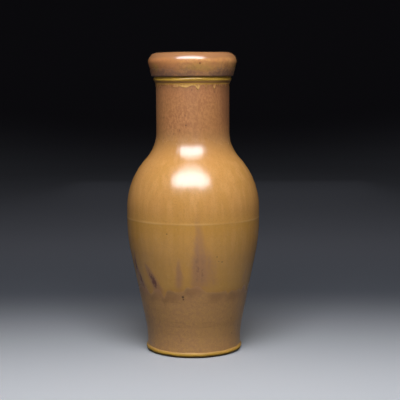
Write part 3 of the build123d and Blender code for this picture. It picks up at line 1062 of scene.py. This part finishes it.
def makeLinerGlaze():
    form = linerForm
    wall = bodyForm["wall"]
    floorTop = bodyForm["waist"]
    inside = bodyOutline(floorTop - 0.001, form["top"], form["spacings"], wall)
    inside = inside[inside[:, 1] > floorTop + form["coat"] + form["pool"] * 1.05]
    surface = floorTop + form["coat"]
    corner = (bodyForm["waistRadius"] - wall - form["coat"] - form["pool"], surface + form["pool"])
    floorLine = straight((0, surface), (corner[0], surface), (0, -1), form["floorSpacing"])
    poolLine = sweep(corner, form["pool"], -90, 0, form["poolSpacing"])
    wallLine = np.column_stack([lifted(inside, -form["coat"]), inside[:, 2:]])
    front = np.concatenate([np.array(floorLine + poolLine[1:]), wallLine])
    backFloor = ((corner[0] + form["pool"], floorTop), (0, floorTop))
    backFloor = straight(*backFloor, (0, -1), form["backSpacing"])
    line = np.concatenate([front, inside[::-6], np.array(backFloor)])
    shell, rows, turns = spinShell("linerGlaze", line[:, :2], form["columns"], closed=False)
    place = line[rows]
    facing = (rows >= len(floorLine) + len(poolLine)) & (rows < len(front))
    phase = 2 * math.pi * (place[:, 1] / form["pitch"] - turns / 360)
    lift = form["ring"] * (0.5 + 0.5 * np.sin(phase)) * smooth(place[:, 1], *form["ringStart"])
    lift *= 1 - smooth(place[:, 1], *form["ringEnd"])
    lift = np.where(facing, -lift, 0.0)
    movePoints(shell, *lifted(place, lift[:, None]).T, turns)
    finishPiece(shell, linerMaterial(), "liner_glaze", "liner_glaze")


makeLinerGlaze()


# bare clay and slip of the frame's own pieces
bareClay = {
    "clayNodes": ("foot_ring", "floor_disc", "lower_body", "upper_body", "neck", "neck_bead", "rolled_rim"),
    "slipNodes": ("foot_slip", "floor_slip", "belly_slip", "neck_slip", "rim_slip"),
}


def clayMaterial(name, dark, light, grit):
    material, tree, shader, space = newMaterial(name)
    body = noise(tree, space, 90, 6, 0.65)
    sand = noise(tree, space, 900, 3, 0.6)
    tone = blended(tree, ranged(tree, body, 0.35, 0.68), dark, light)
    iron = specks(tree, space, 260, 0.2, 0.35)
    tone = blended(tree, times(tree, iron, 0.7), tone, (0.06, 0.032, 0.02))
    rough = ranged(tree, sand, 0.3, 0.7, 0.72, 0.92)
    fill(tree, shader, {"Base Color": tone, "Roughness": rough})
    bumped(tree, shader, plus(tree, sand, times(tree, body, 0.5)), grit, 0.0003)
    return material


def dressClay():
    clay = clayMaterial("bareStoneware", (0.19, 0.115, 0.07), (0.3, 0.19, 0.12), 0.6)
    slip = clayMaterial("firedSlip", (0.27, 0.18, 0.12), (0.38, 0.26, 0.18), 0.35)
    for nodes, material in ((bareClay["clayNodes"], clay), (bareClay["slipNodes"], slip)):
        for name in nodes:
            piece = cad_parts[name]
            piece.data.materials.clear()
            piece.data.materials.append(material)


dressClay()
print("clay dressed")


# studio: a pale floor with a painted pool of light in front, darkening with painted shade behind the vase,
# that sweeps up into a wall; a soft lamp and weak fills
studio = {
    "floorRadius": 2.4,
    "floorSides": 96,
    "sweep": 1.0,
    "sweepSteps": 12,
    "wallTop": 3.0,
    "pale": (0.59, 0.613, 0.662),
    "cloud": (0.55, 0.57, 0.61),
    "middle": (0.098, 0.105, 0.126),
    "far": (0.126, 0.131, 0.155),
    "dark": (0.024, 0.0228, 0.0287),
    "paleCenter": (0.0, -0.25, 0.0),
    "across": (0.35, 1, 1),  # the tones change less across the view than away from it
    # where each tone of the painted fall-off of light starts and is reached, away from that centre
    "middleReach": (0.02, 0.63),
    "farReach": (0.66, 1.15),
    "darkReach": (2.5, 3.2),
    "bounce": (0.07, 0.07, 0.07),  # what the floor gives back to the vase
    "world": 0.006,
    "aim": (0.0, 0.0, 0.22),
    # turn from the front, rise, distance, size, power and spread of the lamps, which leave no glint
    "lamps": {
        "softLight": (0.0, 54.0, 1.5, (1.1, 1.00), 28.6, 180.0),
        "frontFill": (0.0, 10.0, 2.0, (0.8, 0.8), 3.0, 180.0),
        "backFill": (178.0, -4.0, 2.2, (0.9, 0.1), 0.75, 40.0),
    },
    # bright face of the softbox, seen only in the gloss: turn, distance, watts per square metre
    "softboxFace": (-5.0, 1.5, 64.0),
    "faceColour": (0.8, 0.86, 1.0),
    # its strips: lowest and highest rise in degrees, half width in metres, share of the brightness
    "strips": [
        (35.5, 39.0, 0.68, 1.0), (39.0, 44.0, 0.82, 1.0), (44.0, 50.0, 0.88, 1.0),
        (50.0, 56.0, 0.82, 0.95), (56.0, 61.0, 0.7, 0.75), (61.0, 65.0, 0.56, 0.5),
        (65.0, 69.0, 0.45, 0.34), (69.0, 73.0, 0.34, 0.24), (73.0, 77.0, 0.2, 0.16),
    ],
}


def studioMaterial():
    material, tree, shader, space = newMaterial("paleStudio")
    away = distance(tree, stretched(tree, space, studio["across"]), studio["paleCenter"])
    cloud = noise(tree, space, 1.2, 2, 0.55)
    # painted pool of light on the floor, going darker with painted shade away from the front
    seen = toned(tree, cloud, 0.3, 0.7, studio["pale"], studio["cloud"], 0.2)
    for tone in ("middle", "far", "dark"):
        seen = toned(tree, away, *studio[tone + "Reach"], seen, studio[tone])
    path = added(tree, "LightPath", {})
    looked = mathNode(tree, "MAXIMUM", path.outputs["Is Camera Ray"], path.outputs["Is Glossy Ray"])
    tone = blended(tree, looked, studio["bounce"], seen)
    fill(tree, shader, {"Base Color": tone, "Roughness": 0.9, "Specular IOR Level": 0.0})
    return material


def addStudio():
    bpy.ops.object.select_all(action="DESELECT")
    radius, bend, steps = studio["floorRadius"], studio["sweep"], studio["sweepSteps"]
    bpy.ops.mesh.primitive_circle_add(vertices=studio["floorSides"], radius=radius, fill_type="NGON")
    floor = bpy.context.object
    floor.name = "studioFloor"
    bpy.ops.object.mode_set(mode="EDIT")
    bpy.ops.mesh.select_all(action="SELECT")
    bpy.ops.mesh.normals_make_consistent(inside=False)
    bpy.ops.mesh.select_mode(type="EDGE")
    bpy.ops.mesh.select_all(action="SELECT")
    reach = radius
    for step in range(1, steps + 1):
        angle = math.radians(90 * step / steps)
        after = radius + bend * math.sin(angle)
        rise = bend * (math.cos(math.radians(90 * (step - 1) / steps)) - math.cos(angle))
        bpy.ops.mesh.extrude_edges_move(TRANSFORM_OT_translate={"value": (0, 0, rise)})
        bpy.ops.transform.resize(value=(after / reach, after / reach, 1))
        reach = after
    bpy.ops.mesh.extrude_edges_move(TRANSFORM_OT_translate={"value": (0, 0, studio["wallTop"] - bend)})
    weld()
    bpy.ops.object.mode_set(mode="OBJECT")
    bpy.ops.object.shade_smooth()
    floor.data.materials.append(studioMaterial())


def addLamp(name, turn, rise, away, size, watts, spread=180.0):
    a, e = math.radians(turn), math.radians(rise)
    aim = studio["aim"]
    place = (
        aim[0] + away * math.cos(e) * math.sin(a),
        aim[1] - away * math.cos(e) * math.cos(a),
        aim[2] + away * math.sin(e),
    )
    bpy.ops.object.light_add(type="AREA", location=place, rotation=(math.radians(90) - e, 0, a))
    lamp = bpy.context.object
    lamp.name = name
    lamp.data.shape = "RECTANGLE"
    lamp.data.size, lamp.data.size_y = size
    lamp.data.energy = watts
    lamp.data.spread = math.radians(spread)
    lamp.visible_camera = False
    return lamp


def addLight():
    world = bpy.data.worlds.new("studioWorld")
    bpy.context.scene.world = world
    world.use_nodes = True
    world.node_tree.nodes["Background"].inputs["Color"].default_value = (1, 1, 1, 1)
    world.node_tree.nodes["Background"].inputs["Strength"].default_value = studio["world"]
    for name, numbers in studio["lamps"].items():
        addLamp(name, *numbers).visible_glossy = False
    turn, away, level = studio["softboxFace"]
    for low, high, half, share in studio["strips"]:
        size = (2 * half, 2 * away * math.tan(math.radians(high - low) / 2))
        strip = addLamp("softboxFace", turn, (low + high) / 2, away, size, share * level * size[0] * size[1])
        strip.data.color = studio["faceColour"]
        strip.visible_diffuse = False


addStudio()
addLight()
print("studio lit")
